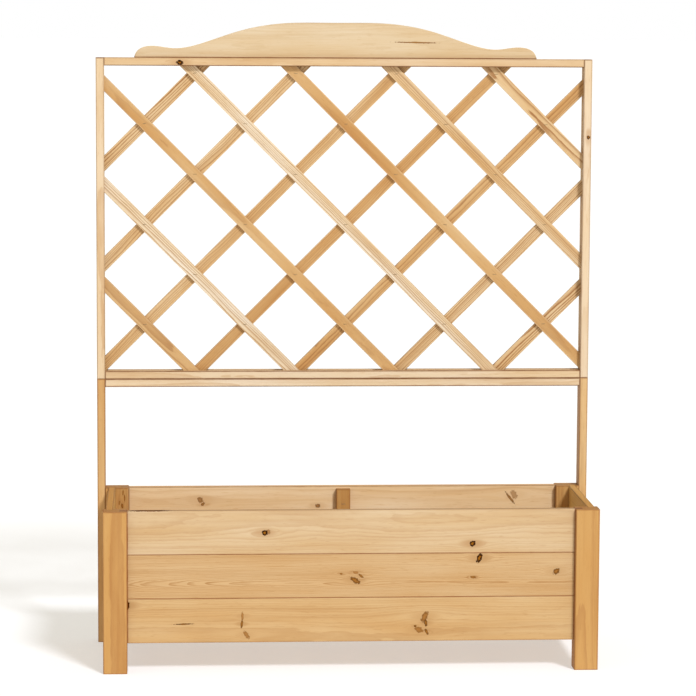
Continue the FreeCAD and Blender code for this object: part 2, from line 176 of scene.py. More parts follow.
# the figure of the wood; noises: cycles per metre along, across and through the stick,
# and how much fine detail. Fibres and flecks are drawn 2 mm wide, coarser than real
# ones, so that they show. Other lengths in metres
figure = {
    "noises": {"wander": ((2.2, 5.0, 5.0), 1.0), "ripple": ((12.0, 60.0, 60.0), 3.0),
               "fibre": ((11.0, 520.0, 520.0), 2.0), "cloud": ((3.0, 20.0, 20.0), 2.0),
               "streak": ((1.6, 75.0, 75.0), 3.0), "fleck": ((40.0, 600.0, 600.0), 1.0),
               "wear": ((30.0, 60.0, 60.0), 2.0)},
    "ripple": 0.0044,  # how far the rings waver
    "years": (0.37, 1.8),  # how often good and bad years change, and how many rings' width they shift
    "summer": (0.4, 0.9), "winter": (1.0, 0.93),  # shares of a year in which the dark line comes and ends
    "dry year": 0.35,  # the faintest ring line, where the darkest is 1
    "streak": (0.5, 0.8, 0.3), "fleck": (0.62, 0.76, 0.34),  # where they start, are full, and how dark
    "climb": 1.6,  # power: the trunk swells more and more steeply
    "light": 0.92, "fibre": 0.16, "tint": (0.45, 2.0),  # mean tone, what fibres add, powers for red and blue
    "halo": 0.5,
    "edge": (0.0036, 0.001), "endGrainAndSideShade": (0.0003, 0.0001),  # distance from an edge where the arris stain with its painted shade, and the dark end grain with the painted side shade, start and are full
    "raw end": 0.4, "painted side shade": 0.5,  # how dark end grain gets, and how dark the painted shade on the two narrow long sides is
    "patchy": (0.8, 0.6),  # how much the arris stain, painted shade and painted highlight vary, and their least
    "rough": 0.62, "summer rough": -0.1, "fibre rough": 0.08,
    "knot depth": -1.6, "relief": 0.5, "knot gloss": -0.33,
}


def grainTree():
    # colour, roughness and relief of one planed stick, from its place in the log
    tree, add, given = newTree(
        "growth rings of pine", "ShaderNodeTree",
        [("Place", "Vector", None), ("Straight", "Vector", None), ("Pith", "Vector", None),
         ("Halves", "Vector", None), ("Marks", "Vector", None),
         ("Spring Wood", "Color", None), ("Summer Wood", "Color", None),
         ("Heart", "Color", None), ("Bark", "Color", None), ("Ring", "Float", 0.004),
         ("Bow", "Float", 0.012), ("Contrast", "Float", 0.6), ("Cloud", "Float", 0.4), ("Shade", "Float", 1.0),
         ("Edge", "Color", None), ("Edge Strength", "Float", 0.5), ("End Strength", "Float", 0.5),
         ("Swell", "Float", 0.0), ("Swell From", "Float", 0.0), ("Swell To", "Float", 1.0)],
        [("Colour", "Color"), ("Roughness", "Float"), ("Gloss", "Float"), ("Relief", "Float")])
    pith = add("ShaderNodeSeparateXYZ", {0: given["Pith"]})
    shift = add("ShaderNodeCombineXYZ", {0: pith[0]})
    inLog = add("ShaderNodeVectorMath", {0: given["Place"], 1: shift[0]}, operation="ADD")
    noises = {}
    for name, (stretch, detail) in figure["noises"].items():
        scaled = add("ShaderNodeVectorMath", {0: inLog[0], 1: stretch}, operation="MULTIPLY")
        noises[name] = add("ShaderNodeTexNoise", {"Vector": scaled[0], "Scale": 1.0, "Detail": detail})
    # the trunk wanders by Bow over half a metre, so the planed face cuts arches
    centred = add("ShaderNodeVectorMath", {0: noises["wander"][1], 1: (0.5, 0.5, 0.5)}, operation="SUBTRACT")
    bow = add("ShaderNodeCombineXYZ", {1: given["Bow"], 2: given["Bow"]})
    bowed = add("ShaderNodeVectorMath", {0: centred[0], 1: bow[0], 2: given["Place"]}, operation="MULTIPLY_ADD")
    place = add("ShaderNodeSeparateXYZ", {0: bowed[0]})
    # where the trunk swells its rings climb to the face and show as nested tongues
    ramp = add("ShaderNodeMapRange", {0: place[0], 1: given["Swell From"], 2: given["Swell To"]})
    steeper = add("ShaderNodeMath", {0: ramp[0], 1: figure["climb"]}, operation="POWER")
    climb = add("ShaderNodeMath", {0: steeper[0], 1: given["Swell"], 2: place[2]}, operation="MULTIPLY_ADD")
    aside = add("ShaderNodeMath", {0: place[1], 1: pith[1]}, operation="SUBTRACT")
    above = add("ShaderNodeMath", {0: climb[0], 1: pith[2]}, operation="SUBTRACT")
    toPith = add("ShaderNodeCombineXYZ", {0: aside[0], 1: above[0]})
    radius = add("ShaderNodeVectorMath", {0: toPith[0]}, operation="LENGTH")
    rippled = add("ShaderNodeMath", {0: noises["ripple"][0], 1: figure["ripple"], 2: radius[1]},
                  operation="MULTIPLY_ADD")
    evenRings = add("ShaderNodeMath", {0: rippled[0], 1: given["Ring"]}, operation="DIVIDE")
    # good and bad years: rings of uneven width and depth
    often, shifted = figure["years"]
    years = add("ShaderNodeTexNoise", {"W": evenRings[0], "Scale": often, "Detail": 1.0}, noise_dimensions="1D")
    rings = add("ShaderNodeMath", {0: years[0], 1: shifted, 2: evenRings[0]}, operation="MULTIPLY_ADD")
    season = add("ShaderNodeMath", {0: rings[0]}, operation="FRACT")
    rising, falling = (
        add("ShaderNodeMapRange", {0: season[0], 1: start, 2: full}, interpolation_type="SMOOTHSTEP")
        for start, full in (figure["summer"], figure["winter"]))
    year = add("ShaderNodeMath", {0: rings[0]}, operation="FLOOR")
    dryness = add("ShaderNodeTexWhiteNoise", {"W": year[0]}, noise_dimensions="1D")
    faintest = figure["dry year"]
    strength = add("ShaderNodeMath", {0: dryness[0], 1: 1 - faintest, 2: faintest}, operation="MULTIPLY_ADD")
    line = add("ShaderNodeMath", {0: rising[0], 1: falling[0]}, operation="MULTIPLY")
    summer = add("ShaderNodeMath", {0: line[0], 1: strength[0]}, operation="MULTIPLY")
    # three veils of summer wood over spring wood: ring lines, broad streaks and small flecks
    ringed = add("ShaderNodeMath", {0: summer[0], 1: given["Contrast"]}, operation="MULTIPLY", use_clamp=True)
    veils = [ringed]
    for name in ("streak", "fleck"):
        start, full, dark = figure[name]
        veils.append(add("ShaderNodeMapRange", {0: noises[name][0], 1: start, 2: full, 4: dark},
                         interpolation_type="SMOOTHSTEP"))
    colour = given["Spring Wood"]
    for veil in veils:
        colour = add("ShaderNodeMix", {0: veil[0], 6: colour, 7: given["Summer Wood"]}, data_type="RGBA")[2]
    # paler wood is mostly less yellow, hardly brighter in red
    uneven = add("ShaderNodeMath", {0: noises["cloud"][0], 1: 0.5}, operation="SUBTRACT")
    clouded = add("ShaderNodeMath", {0: uneven[0], 1: given["Cloud"], 2: figure["light"]}, operation="MULTIPLY_ADD")
    fibred = add("ShaderNodeMath", {0: noises["fibre"][0], 1: figure["fibre"], 2: clouded[0]},
                 operation="MULTIPLY_ADD")
    light = add("ShaderNodeMath", {0: fibred[0], 1: given["Shade"]}, operation="MULTIPLY")
    reds, blues = (add("ShaderNodeMath", {0: light[0], 1: power}, operation="POWER") for power in figure["tint"])
    tint = add("ShaderNodeCombineColor", {0: reds[0], 1: light[0], 2: blues[0]})
    colour = add("ShaderNodeMix", {0: 1.0, 6: colour, 7: tint[0]}, data_type="RGBA", blend_type="MULTIPLY")[2]
    # the knots, from the wide halo in to the bark ring
    marks = add("ShaderNodeSeparateXYZ", {0: given["Marks"]})
    halo = add("ShaderNodeMath", {0: marks[2], 1: figure["halo"]}, operation="MULTIPLY")
    for veil, paint in ((halo[0], "Summer Wood"), (marks[0], "Heart"), (marks[1], "Bark")):
        colour = add("ShaderNodeMix", {0: veil, 6: colour, 7: given[paint]}, data_type="RGBA")[2]
    # the arrises carry a dark stain line where parts meet together with painted shade, or a pale painted highlight
    # where the finish's edge colour is pale; end grain drinks the stain, and the two narrow long sides are darkened
    # as painted shade
    straight = add("ShaderNodeVectorMath", {0: given["Straight"]}, operation="ABSOLUTE")
    inside = add("ShaderNodeVectorMath", {0: given["Halves"], 1: straight[0]}, operation="SUBTRACT")
    near = add("ShaderNodeSeparateXYZ", {0: inside[0]})
    start, full = figure["edge"]
    close = [add("ShaderNodeMapRange", {0: gap, 1: start, 2: full}, interpolation_type="SMOOTHSTEP") for gap in near]
    crossing = add("ShaderNodeMath", {0: close[1][0], 1: close[2][0]}, operation="MAXIMUM")
    atEnd = add("ShaderNodeMath", {0: close[0][0], 1: crossing[0]}, operation="MULTIPLY")
    alongSide = add("ShaderNodeMath", {0: close[1][0], 1: close[2][0]}, operation="MULTIPLY")
    endStain = add("ShaderNodeMath", {0: atEnd[0], 1: given["End Strength"]}, operation="MULTIPLY")
    longArrisStainShadeAndHighlight = add("ShaderNodeMath", {0: alongSide[0], 1: given["Edge Strength"]}, operation="MULTIPLY")
    arrisStainShadeAndHighlight = add("ShaderNodeMath", {0: endStain[0], 1: longArrisStainShadeAndHighlight[0]}, operation="MAXIMUM")
    varied, least = figure["patchy"]
    patchy = add("ShaderNodeMath", {0: noises["wear"][0], 1: varied, 2: least}, operation="MULTIPLY_ADD")
    patchyArrisStainShadeAndHighlight = add("ShaderNodeMath", {0: arrisStainShadeAndHighlight[0], 1: patchy[0]}, operation="MULTIPLY", use_clamp=True)
    start, full = figure["endGrainAndSideShade"]
    # end grain drinks stain and darkens; the two narrow long sides are darkened as painted shade
    rawEnd, paintedSideShade = (
        add("ShaderNodeMapRange", {0: gap, 1: start, 2: full, 4: figure[name]}, interpolation_type="SMOOTHSTEP")
        for gap, name in ((near[0], "raw end"), (near[1], "painted side shade")))
    endGrainAndSideShade = add("ShaderNodeMath", {0: rawEnd[0], 1: paintedSideShade[0]}, operation="MAXIMUM")
    # the edge colour along the arrises: a dark stain line with painted shade, or a pale painted highlight on the
    # slats
    colour = add("ShaderNodeMix", {0: patchyArrisStainShadeAndHighlight[0], 6: colour, 7: given["Edge"]}, data_type="RGBA")[2]
    colour = add("ShaderNodeMix", {0: endGrainAndSideShade[0], 6: colour, 7: given["Spring Wood"]},
                 data_type="RGBA", blend_type="MULTIPLY")[2]
    # hard summer wood is smoother and stands up a little, soft fibres are dull,
    # a knot lies lower and has no shine
    dull = add("ShaderNodeMath", {0: summer[0], 1: figure["summer rough"], 2: figure["rough"]},
               operation="MULTIPLY_ADD")
    rough = add("ShaderNodeMath", {0: noises["fibre"][0], 1: figure["fibre rough"], 2: dull[0]},
                operation="MULTIPLY_ADD")
    ridge = add("ShaderNodeMath", {0: summer[0], 1: noises["fibre"][0]}, operation="ADD")
    sunk = add("ShaderNodeMath", {0: marks[1], 1: figure["knot depth"], 2: ridge[0]}, operation="MULTIPLY_ADD")
    relief = add("ShaderNodeMath", {0: sunk[0], 1: figure["relief"]}, operation="MULTIPLY")
    knotty = add("ShaderNodeMath", {0: marks[0], 1: marks[1]}, operation="MAXIMUM")
    gloss = add("ShaderNodeMath", {0: knotty[0], 1: figure["knot gloss"], 2: plainGloss}, operation="MULTIPLY_ADD")
    add("NodeGroupOutput", {"Colour": colour, "Roughness": rough[0], "Gloss": gloss[0], "Relief": relief[0]})
    return tree


knotGroup = knotTree()
grainGroup = grainTree()

# hex colours of the treated wood; ring is the mean width of a growth ring in mm,
# bow how far the log wanders in mm, cloud how much the tone drifts along a stick,
# edge the colour and strength along the arrises: a dark stain line with painted shade, and on the slats a pale
# painted highlight
finishes = {
    "pale board": {
        "spring": "#C1A37A", "summer": "#A07343",
        "ring": 3.4, "bow": 8, "contrast": 0.36, "edge": ("#7F430F", 0.8)},
    "gold board": {
        "spring": "#BE9A6B", "summer": "#9C6F3A",
        "ring": 2.2, "bow": 5, "contrast": 0.85, "edge": ("#7F430F", 0.8)},
    "low board": {
        "spring": "#BD9866", "summer": "#996A34",
        "ring": 4.0, "bow": 10, "contrast": 0.36, "edge": ("#7F430F", 0.8)},
    "leg": {
        "spring": "#B8894B", "summer": "#935C28",
        "ring": 5.0, "bow": 7, "contrast": 0.4, "edge": ("#8C5622", 0.5)},
    "frame stick": {
        "spring": "#CFB591", "summer": "#AC7F4E",
        "ring": 3.4, "bow": 6, "contrast": 0.42, "edge": ("#74451A", 0.85)},
    "lower post": {
        "spring": "#C39A63", "summer": "#9C6A34",
        "ring": 3.4, "bow": 6, "contrast": 0.42, "edge": ("#8A5622", 0.6)},
    "crown": {
        "spring": "#C6AD88", "summer": "#A8824C",
        "ring": 3.6, "bow": 8, "contrast": 0.26, "edge": ("#74451A", 0.95)},
    "slat": {
        "spring": "#C4A171", "summer": "#905E2C",
        # the slats' pale edge colour is a painted highlight along their arrises
        "ring": 4.2, "bow": 9, "contrast": 0.95, "cloud": 1.0, "edge": ("#DDBE92", 0.35)},
    "side board": {
        "spring": "#CCA058", "summer": "#9C6824",
        "ring": 4.6, "bow": 12, "contrast": 0.4, "edge": ("#7A4A1C", 0.5)},
    # the back boards are painted paler than the front boards: painted light standing in for light inside the box
    "back board painted paler as if lit": {
        "spring": "#DDBE92", "summer": "#B8864C",
        "ring": 4.6, "bow": 10, "contrast": 0.3, "edge": ("#7A4A1C", 0.6)},
}
knotWood = {"heart": "#8A5414", "bark": "#2C1404"}
planing = {"relief": 0.2, "strength": 0.5, "cloud": 0.5}  # relief in mm; cloud where a finish names none
noSwell, evenArrisStainShadeAndHighlight = (0, 0, 1), (1.0, 1.0)


def pineMaterial(name, finish, knots=(), swell=noSwell):
    # planed softwood under a thin honey impregnation: matt, the ring lines a
    # little darker and smoother, arrises with a dark stain line and painted shade or a pale
    # painted highlight, end grain dark, and the narrow long sides darkened as painted shade
    # knots: (mm along, mm across, radius mm, stretch, tilt degrees, depth 0..1)
    # swell: (mm of climb, mm along where it starts, mm along where it is full)
    look = finishes[finish]
    material = bpy.data.materials.new("planed pine, " + name)
    material.use_nodes = True
    tree = material.node_tree
    tree.nodes.clear()
    add = partial(addNode, tree)
    names = ("place", "pith", "halves", "shade", "stripes", "wear")
    read = {name: add("ShaderNodeAttribute", attribute_name=name) for name in names}
    wires = {"Straight": read["place"]["Vector"], "Place": read["place"]["Vector"]}
    for along, across, radius, stretch, tilt, depth in knots:
        wires.update({"Along": along * mm, "Across": across * mm, "Radius": radius * mm,
                      "Stretch": stretch, "Tilt": math.radians(tilt), "Depth": depth})
        knot = add("ShaderNodeGroup", wires, node_tree=knotGroup)
        wires = {"Straight": read["place"]["Vector"], "Place": knot["Place"], "Marks": knot["Marks"]}
    contrast = add("ShaderNodeMath", {0: read["stripes"]["Fac"], 1: look["contrast"]}, operation="MULTIPLY")
    edge = add("ShaderNodeMath", {0: read["wear"]["Fac"], 1: look["edge"][1]}, operation="MULTIPLY")
    wires.update({
        "Pith": read["pith"]["Vector"], "Halves": read["halves"]["Vector"],
        "Shade": read["shade"]["Fac"], "Contrast": contrast[0],
        "Edge Strength": edge[0], "End Strength": look["edge"][1],
        "Spring Wood": linear(look["spring"]), "Summer Wood": linear(look["summer"]),
        "Edge": linear(look["edge"][0]), "Heart": linear(knotWood["heart"]), "Bark": linear(knotWood["bark"]),
        "Ring": look["ring"] * mm, "Bow": look["bow"] * 2 * mm, "Cloud": look.get("cloud", planing["cloud"]),
        "Swell": swell[0] * mm, "Swell From": swell[1] * mm, "Swell To": swell[2] * mm})
    grain = add("ShaderNodeGroup", wires, node_tree=grainGroup)
    relief = add("ShaderNodeBump", {
        "Height": grain["Relief"], "Strength": planing["strength"], "Distance": planing["relief"] * mm})
    gloss = grain["Gloss"] if knots else plainGloss  # wood with no knot shines the same all over
    shader = add("ShaderNodeBsdfPrincipled", {
        "Base Color": grain["Colour"], "Roughness": grain["Roughness"],
        "Normal": relief[0], "IOR": 1.5, "Specular IOR Level": gloss})
    add("ShaderNodeOutputMaterial", {"Surface": shader[0]})
    return material


def markGrain(mesh, stickOf):
    # stickOf gives, for a point, its stick's middle, axes (along, across, through), half
    # sizes, pith, shade, strength of its ring lines, strength of the arris stain line with its
    # painted shade or highlight on its two long sides and, where sticks share a material,
    # where on the log it starts
    kinds = {"place": "FLOAT_VECTOR", "pith": "FLOAT_VECTOR", "halves": "FLOAT_VECTOR",
             "shade": "FLOAT", "stripes": "FLOAT", "wear": "FLOAT"}
    values = {name: [] for name in kinds}
    for vertex in mesh.vertices:
        stick = stickOf(vertex.co)
        place = [(vertex.co - stick["middle"]).dot(axis) for axis in stick["axes"]]
        values["place"] += [place[0] + stick.get("start", 0.0), place[1], place[2]]
        values["pith"] += stick["pith"]
        values["halves"] += stick["halves"]
        values["shade"].append(stick["shade"])
        values["stripes"].append(stick["stripes"])
        values["wear"].append(stick["wear"][0 if place[1] < 0 else 1])
    for name, kind in kinds.items():
        field = "vector" if kind == "FLOAT_VECTOR" else "value"
        mesh.attributes.new(name, kind, "POINT").data.foreach_set(field, values[name])


# mm and radians: points nearer than "weld" are one, edges flatter than "flat" go, edges
# sharper than "sharp" are eased, and facets narrower than "facet" between bent edges are round
easing = {"weld": 0.002, "flat": math.radians(0.3), "bent": 0.005, "sharp": 0.5, "facet": 12}


def easedCopy(node, arris):
    # the CAD node's own shape, joined up and with its sharp edges taken off
    solid = bmesh.new()
    solid.from_mesh(cadNodes[node].data)
    bmesh.ops.remove_doubles(solid, verts=solid.verts, dist=easing["weld"] * mm)
    bmesh.ops.dissolve_limit(solid, angle_limit=easing["flat"], verts=solid.verts, edges=solid.edges)
    rounded = solid.faces.layers.int.new("rounded")
    for face in solid.faces:
        bent = any(easing["bent"] < edge.calc_face_angle(0) < easing["sharp"] for edge in face.edges)
        longest = max(edge.calc_length() for edge in face.edges)
        face[rounded] = bent and face.calc_area() < easing["facet"] * mm * longest
    sharp = [edge for edge in solid.edges if edge.is_manifold and edge.calc_face_angle(0) > easing["sharp"]]
    made = bmesh.ops.bevel(
        solid, geom=sharp, offset=arris * mm, offset_type="OFFSET", segments=2,
        profile=0.5, affect="EDGES", clamp_overlap=True)
    for face in solid.faces:
        face.smooth = bool(face[rounded])
    for face in made["faces"]:
        face.smooth = True
    solid.faces.layers.int.remove(rounded)
    mesh = bpy.data.meshes.new(node)
    solid.to_mesh(mesh)
    solid.free()
    return mesh


def keepPiece(name, mesh, nodes):
    # a finished piece stands for its CAD nodes and moves with them
    piece = bpy.data.objects.new(name, mesh)
    bpy.context.scene.collection.objects.link(piece)
    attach(piece, "root")
    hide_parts(*nodes)


def dress(node, along, face, finish, pith=None, knots=(), shade=1.0, arris=0.5,
          swell=noSwell, wear=evenArrisStainShadeAndHighlight, housed=0.0):
    # one solid block of pine; arris: mm of easing; housed: mm at each end that sit in a groove or mortise
    low, high = (Vector(corner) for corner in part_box(node))
    chance = random.Random(node)  # the same log for a node at every run
    pith = pith or (chance.uniform(-20, 20), chance.uniform(-70, -30))
    axes = (along, face.cross(along), face)
    halves = [abs((high - low).dot(axis)) / 2 for axis in axes]
    halves[0] -= housed * mm
    stick = {
        "middle": (low + high) / 2, "axes": axes, "halves": halves, "shade": shade, "stripes": 1.0, "wear": wear,
        "pith": [chance.uniform(0, 50), pith[0] * mm, pith[1] * mm]}
    mesh = easedCopy(node, arris)
    markGrain(mesh, lambda point: stick)
    mesh.materials.append(pineMaterial(node.replace("_", " "), finish, knots, swell))
    keepPiece("planed_" + node, mesh, [node])


# mm of each end that sit in the legs' grooves and the uprights' mortises
housing = {"board": 17.5, "rail": 12.0}

# knots stand where they are on the real boards
boards = {
    "front_board_upper": {
        "finish": "pale board", "pith": (30, -88), "wear": (1.0, 0.15),
        "knots": [
            (-202, 2, 4.4, 1.3, 60, 0.4), (-211, -0.6, 5.6, 1.2, 0, 1.0), (292, -30, 5.6, 1.3, -25, 1.0),
            # the last mark, long and thin along the top edge, is no knot but a painted shadow line
            (-488, 54.6, 1.5, 32.0, 0, 0.8)]},
    "front_board_middle": {
        "finish": "gold board", "pith": (-19, 5), "swell": (17, -60, -560),
        "knots": [
            (8, -14, 5.6, 2.4, 34, 0.72), (22, -3, 2.6, 2.6, 40, 0.66), (9, 5, 3.4, 2.0, 10, 0.35),
            (-26, 2.4, 2.2, 1.6, 0, 0.55), (309, 39, 5.6, 1.9, -66, 1.0), (294, -8, 2.8, 2.6, 5, 0.6),
            (497, 5, 5.8, 1.5, -30, 0.74)]},
    "front_board_lower": {
        "finish": "low board", "pith": (-44, -62), "wear": (0.35, 1.0),
        "knots": [
            (-264.6, 8, 3.0, 3.2, 88, 0.4), (-266, -11, 2.8, 3.2, 96, 0.72), (-255, -38, 4.4, 2.8, 56, 0.45),
            (177, 3, 6.6, 2.0, -64, 0.6), (180, -12, 3.6, 2.2, 80, 0.8), (163, -29, 6.4, 1.6, 18, 0.5),
            (154.5, -20, 2.4, 1.4, 0, 0.8), (182, -34, 3.0, 2.6, 62, 0.72), (-543, 36, 5.6, 1.9, 90, 1.0),
            (-406, -10.6, 1.4, 15.0, -2, 0.95)]},
    "back_board_upper": {
        "finish": "back board painted paler as if lit", "pith": (8, -70),
        "knots": [
            (-362, 20, 6.0, 1.3, 40, 0.5), (-355, 9, 3.6, 1.4, -40, 0.6), (-64, 3, 4.6, 1.4, 0, 0.6),
            (436, 30, 7.0, 1.8, 60, 0.3), (427, 20, 2.8, 7.0, 52, 0.62)]},
    "back_board_middle": {"finish": "back board painted paler as if lit", "knots": [(120, 12, 6, 1.3, 0, 0.8)]},
    "back_board_lower": {"finish": "back board painted paler as if lit", "knots": [(-330, -14, 5, 1.3, 0, 0.8)]},
}
for node, board in boards.items():
    dress(node, xAxis, front, board["finish"], board.get("pith"), board["knots"],
          swell=board.get("swell", noSwell), wear=board.get("wear", evenArrisStainShadeAndHighlight), housed=housing["board"])
# one knot in each side board, no two alike
sideKnots = {"lower": (-96, 14), "middle": (52, -18), "upper": (-20, 22)}
for level, (along, across) in sideKnots.items():
    dress("left_side_board_" + level, yAxis, left, "side board", knots=[(along, across, 5, 1.3, 20, 0.8)])
    # the right side boards are painted lighter than the left ones: painted light on their inner faces, which lie in
    # shade
    dress("right_side_board_" + level, yAxis, right, "side board", shade=1.15,
          knots=[(along * 0.7, -across, 4, 1.5, 50, 0.7)])
# the rear left leg is bruised at its top
bruises = [(186, -15, 1.6, 5.0, 4, 0.45), (172, -19, 1.4, 7.0, -3, 0.55),
           (160, -6, 2.0, 3.0, 10, 0.35), (152, -13, 2.6, 2.4, -8, 0.6)]
# the rear legs are painted a tenth lighter: painted light where they stand in the box's shade
legs = {"leg_front_left": (1.0, ()), "leg_front_right": (1.0, ()),
        "leg_rear_left": (1.1, bruises), "leg_rear_right": (1.1, ())}
for node, (shade, knots) in legs.items():
    dress(node, zAxis, front, "leg", arris=0.6, shade=shade, knots=knots)
print("box boards and legs dressed")

# the battens are painted a tenth darker: painted shade inside the box
for node, face in (("front_batten", back), ("back_batten", front)):
    dress(node, zAxis, face, "leg", shade=0.9)
for node in ("floor_bearer_front", "floor_bearer_rear"):
    dress(node, xAxis, up, "side board")
for number in range(1, 9):
    dress("floor_board_%d" % number, yAxis, up, "side board")
print("floor and battens dressed")

sticks = {
    "trellis_post_left": {"along": zAxis, "finish": "lower post", "shade": 0.95},
    "trellis_post_right": {"along": zAxis, "finish": "lower post", "shade": 1.08},
    "panel_stile_left": {"along": zAxis, "finish": "frame stick", "shade": 0.95, "wear": (0.3, 0.5)},
    "panel_stile_right": {"along": zAxis, "finish": "frame stick", "shade": 1.05, "wear": (0.5, 0.3),
                          "knots": [(207, -2.5, 4.0, 1.2, 0, 0.9)]},
    "lower_cross_rail": {"along": xAxis, "finish": "frame stick", "shade": 1.09},
    "panel_bottom_rail": {"along": xAxis, "finish": "frame stick", "shade": 1.0},
    "panel_top_rail": {"along": xAxis, "finish": "frame stick", "shade": 0.9, "wear": (1.0, 0.35),
                       "knots": [(-412, -2, 5.4, 1.4, 10, 1.0)]},
}
for node, stick in sticks.items():
    dress(node, stick["along"], front, stick["finish"], knots=stick.get("knots", ()), shade=stick["shade"],
          wear=stick.get("wear", evenArrisStainShadeAndHighlight), housed=housing["rail"] if stick["along"] == xAxis else 0.0)
# the crown's dark line along its bottom arris is painted shade where it stands on the top rail
dress("crown_board", xAxis, front, "crown", pith=(-8, -80), knots=[(200, -4, 1.7, 30.0, 1, 0.62)], wear=(1.0, 0.2))
print("trellis frame and crown dressed")


# what repeats is grown by node trees: slats, staples and screws


def grow(name, tree, spots, turns, sizes):
    # runs a tree on one point for each repeat and keeps the result as a plain mesh
    cloud = bpy.data.meshes.new(name)
    cloud.from_pydata(spots, [], [])
    turning = cloud.attributes.new("turn", "FLOAT_VECTOR", "POINT")
    turning.data.foreach_set("vector", [angle for turn in turns for angle in turn])
    maker = bpy.data.objects.new(name, cloud)
    bpy.context.scene.collection.objects.link(maker)
    modifier = maker.modifiers.new(name, "NODES")
    modifier.node_group = tree
    for item in tree.interface.items_tree:
        if item.name in sizes:
            modifier[item.identifier] = sizes[item.name]
    made = bpy.data.meshes.new_from_object(maker.evaluated_get(bpy.context.evaluated_depsgraph_get()))
    made.name = name
    maker.modifiers.remove(modifier)
    bpy.data.objects.remove(maker)
    return made


def repeatShape(add, spots, shape):
    # one shape on each spot, turned as the spot's own attribute says
    turn = add("GeometryNodeInputNamedAttribute", {"Name": "turn"}, data_type="FLOAT_VECTOR")
    rotation = add("FunctionNodeEulerToRotation", {0: turn[0]})
    laid = add("GeometryNodeInstanceOnPoints", {"Points": spots, "Instance": shape, "Rotation": rotation[0]})
    return add("GeometryNodeRealizeInstances", {0: laid[0]})[0]


def latticeTree():
    # bars with eased edges on the spots, turned to lean, cut to the frame's groove
    tree, add, given = newTree(
        "lattice layer", "GeometryNodeTree",
        [("Spots", "Geometry", None), ("Slat Length", "Float", 2.2), ("Slat Width", "Float", 0.0285),
         ("Slat Thickness", "Float", 0.008), ("Arris", "Float", 0.0008), ("Opening", "Vector", None),
         ("Opening Middle", "Vector", None), ("Timber", "Material", None)],
        [("Lattice", "Geometry")])
    ends = []
    for share in (-0.5, 0.5):
        reach = add("ShaderNodeMath", {0: given["Slat Length"], 1: share}, operation="MULTIPLY")
        ends.append(add("ShaderNodeCombineXYZ", {0: reach[0]}))
    spine = add("GeometryNodeCurvePrimitiveLine", {"Start": ends[0][0], "End": ends[1][0]})
    section = add("GeometryNodeCurvePrimitiveQuadrilateral", {
        "Width": given["Slat Thickness"], "Height": given["Slat Width"]})
    eased = add("GeometryNodeFilletCurve", {"Curve": section[0], "Radius": given["Arris"], "Count": 3}, mode="POLY")
    bar = add("GeometryNodeCurveToMesh", {"Curve": spine[0], "Profile Curve": eased[0], "Fill Caps": True})
    bars = repeatShape(add, given["Spots"], bar[0])
    cube = add("GeometryNodeMeshCube", {"Size": given["Opening"]})
    window = add("GeometryNodeTransform", {"Geometry": cube[0], "Translation": given["Opening Middle"]})
    cut = add("GeometryNodeMeshBoolean", {"Mesh 2": [bars, window[0]]}, operation="INTERSECT", solver="EXACT")
    whole = add("GeometryNodeRealizeInstances", {0: cut[0]})
    done = add("GeometryNodeSetMaterial", {"Geometry": whole[0], "Material": given["Timber"]})
    add("NodeGroupOutput", {"Lattice": done[0]})
    return tree


# mm: the middle slats cross at "shift" and "middle", "pitch" is the level distance from
# slat to slat, and the slats end in the frame's groove, at the sides of "opening"
lattice = {
    "pitch": 251.5, "shift": 3.0, "middle": 1059.0, "plane": 182.5, "width": 28.5, "thickness": 8.0,
    "opening": (1215.4, 45.0, 778.4), "opening middle": (0, 182.5, 1072.5), "facet": 1.2,
    # each slat, from the low left for the front layer and the low right for the rear:
    # shade, strength of its ring lines, pith across and through in mm
    "front": [(0.84, 0.8, 10, -30), (1.5, 1.2, -26, -26), (0.83, 0.4, 0, -60), (1.36, 1.2, -34, -18),
              (0.78, 0.4, 5, -50), (1.05, 1.1, 30, -22), (1.08, 1.2, -12, -26)],
    "rear": [(1.01, 1.6, 14, -14), (1.04, 1.6, 40, -12), (0.8, 1.0, 20, -24), (0.76, 0.8, -30, -24),
             (0.93, 1.0, 30, -18), (1.09, 1.1, -26, -22), (1.1, 1.4, 24, -18)],
}


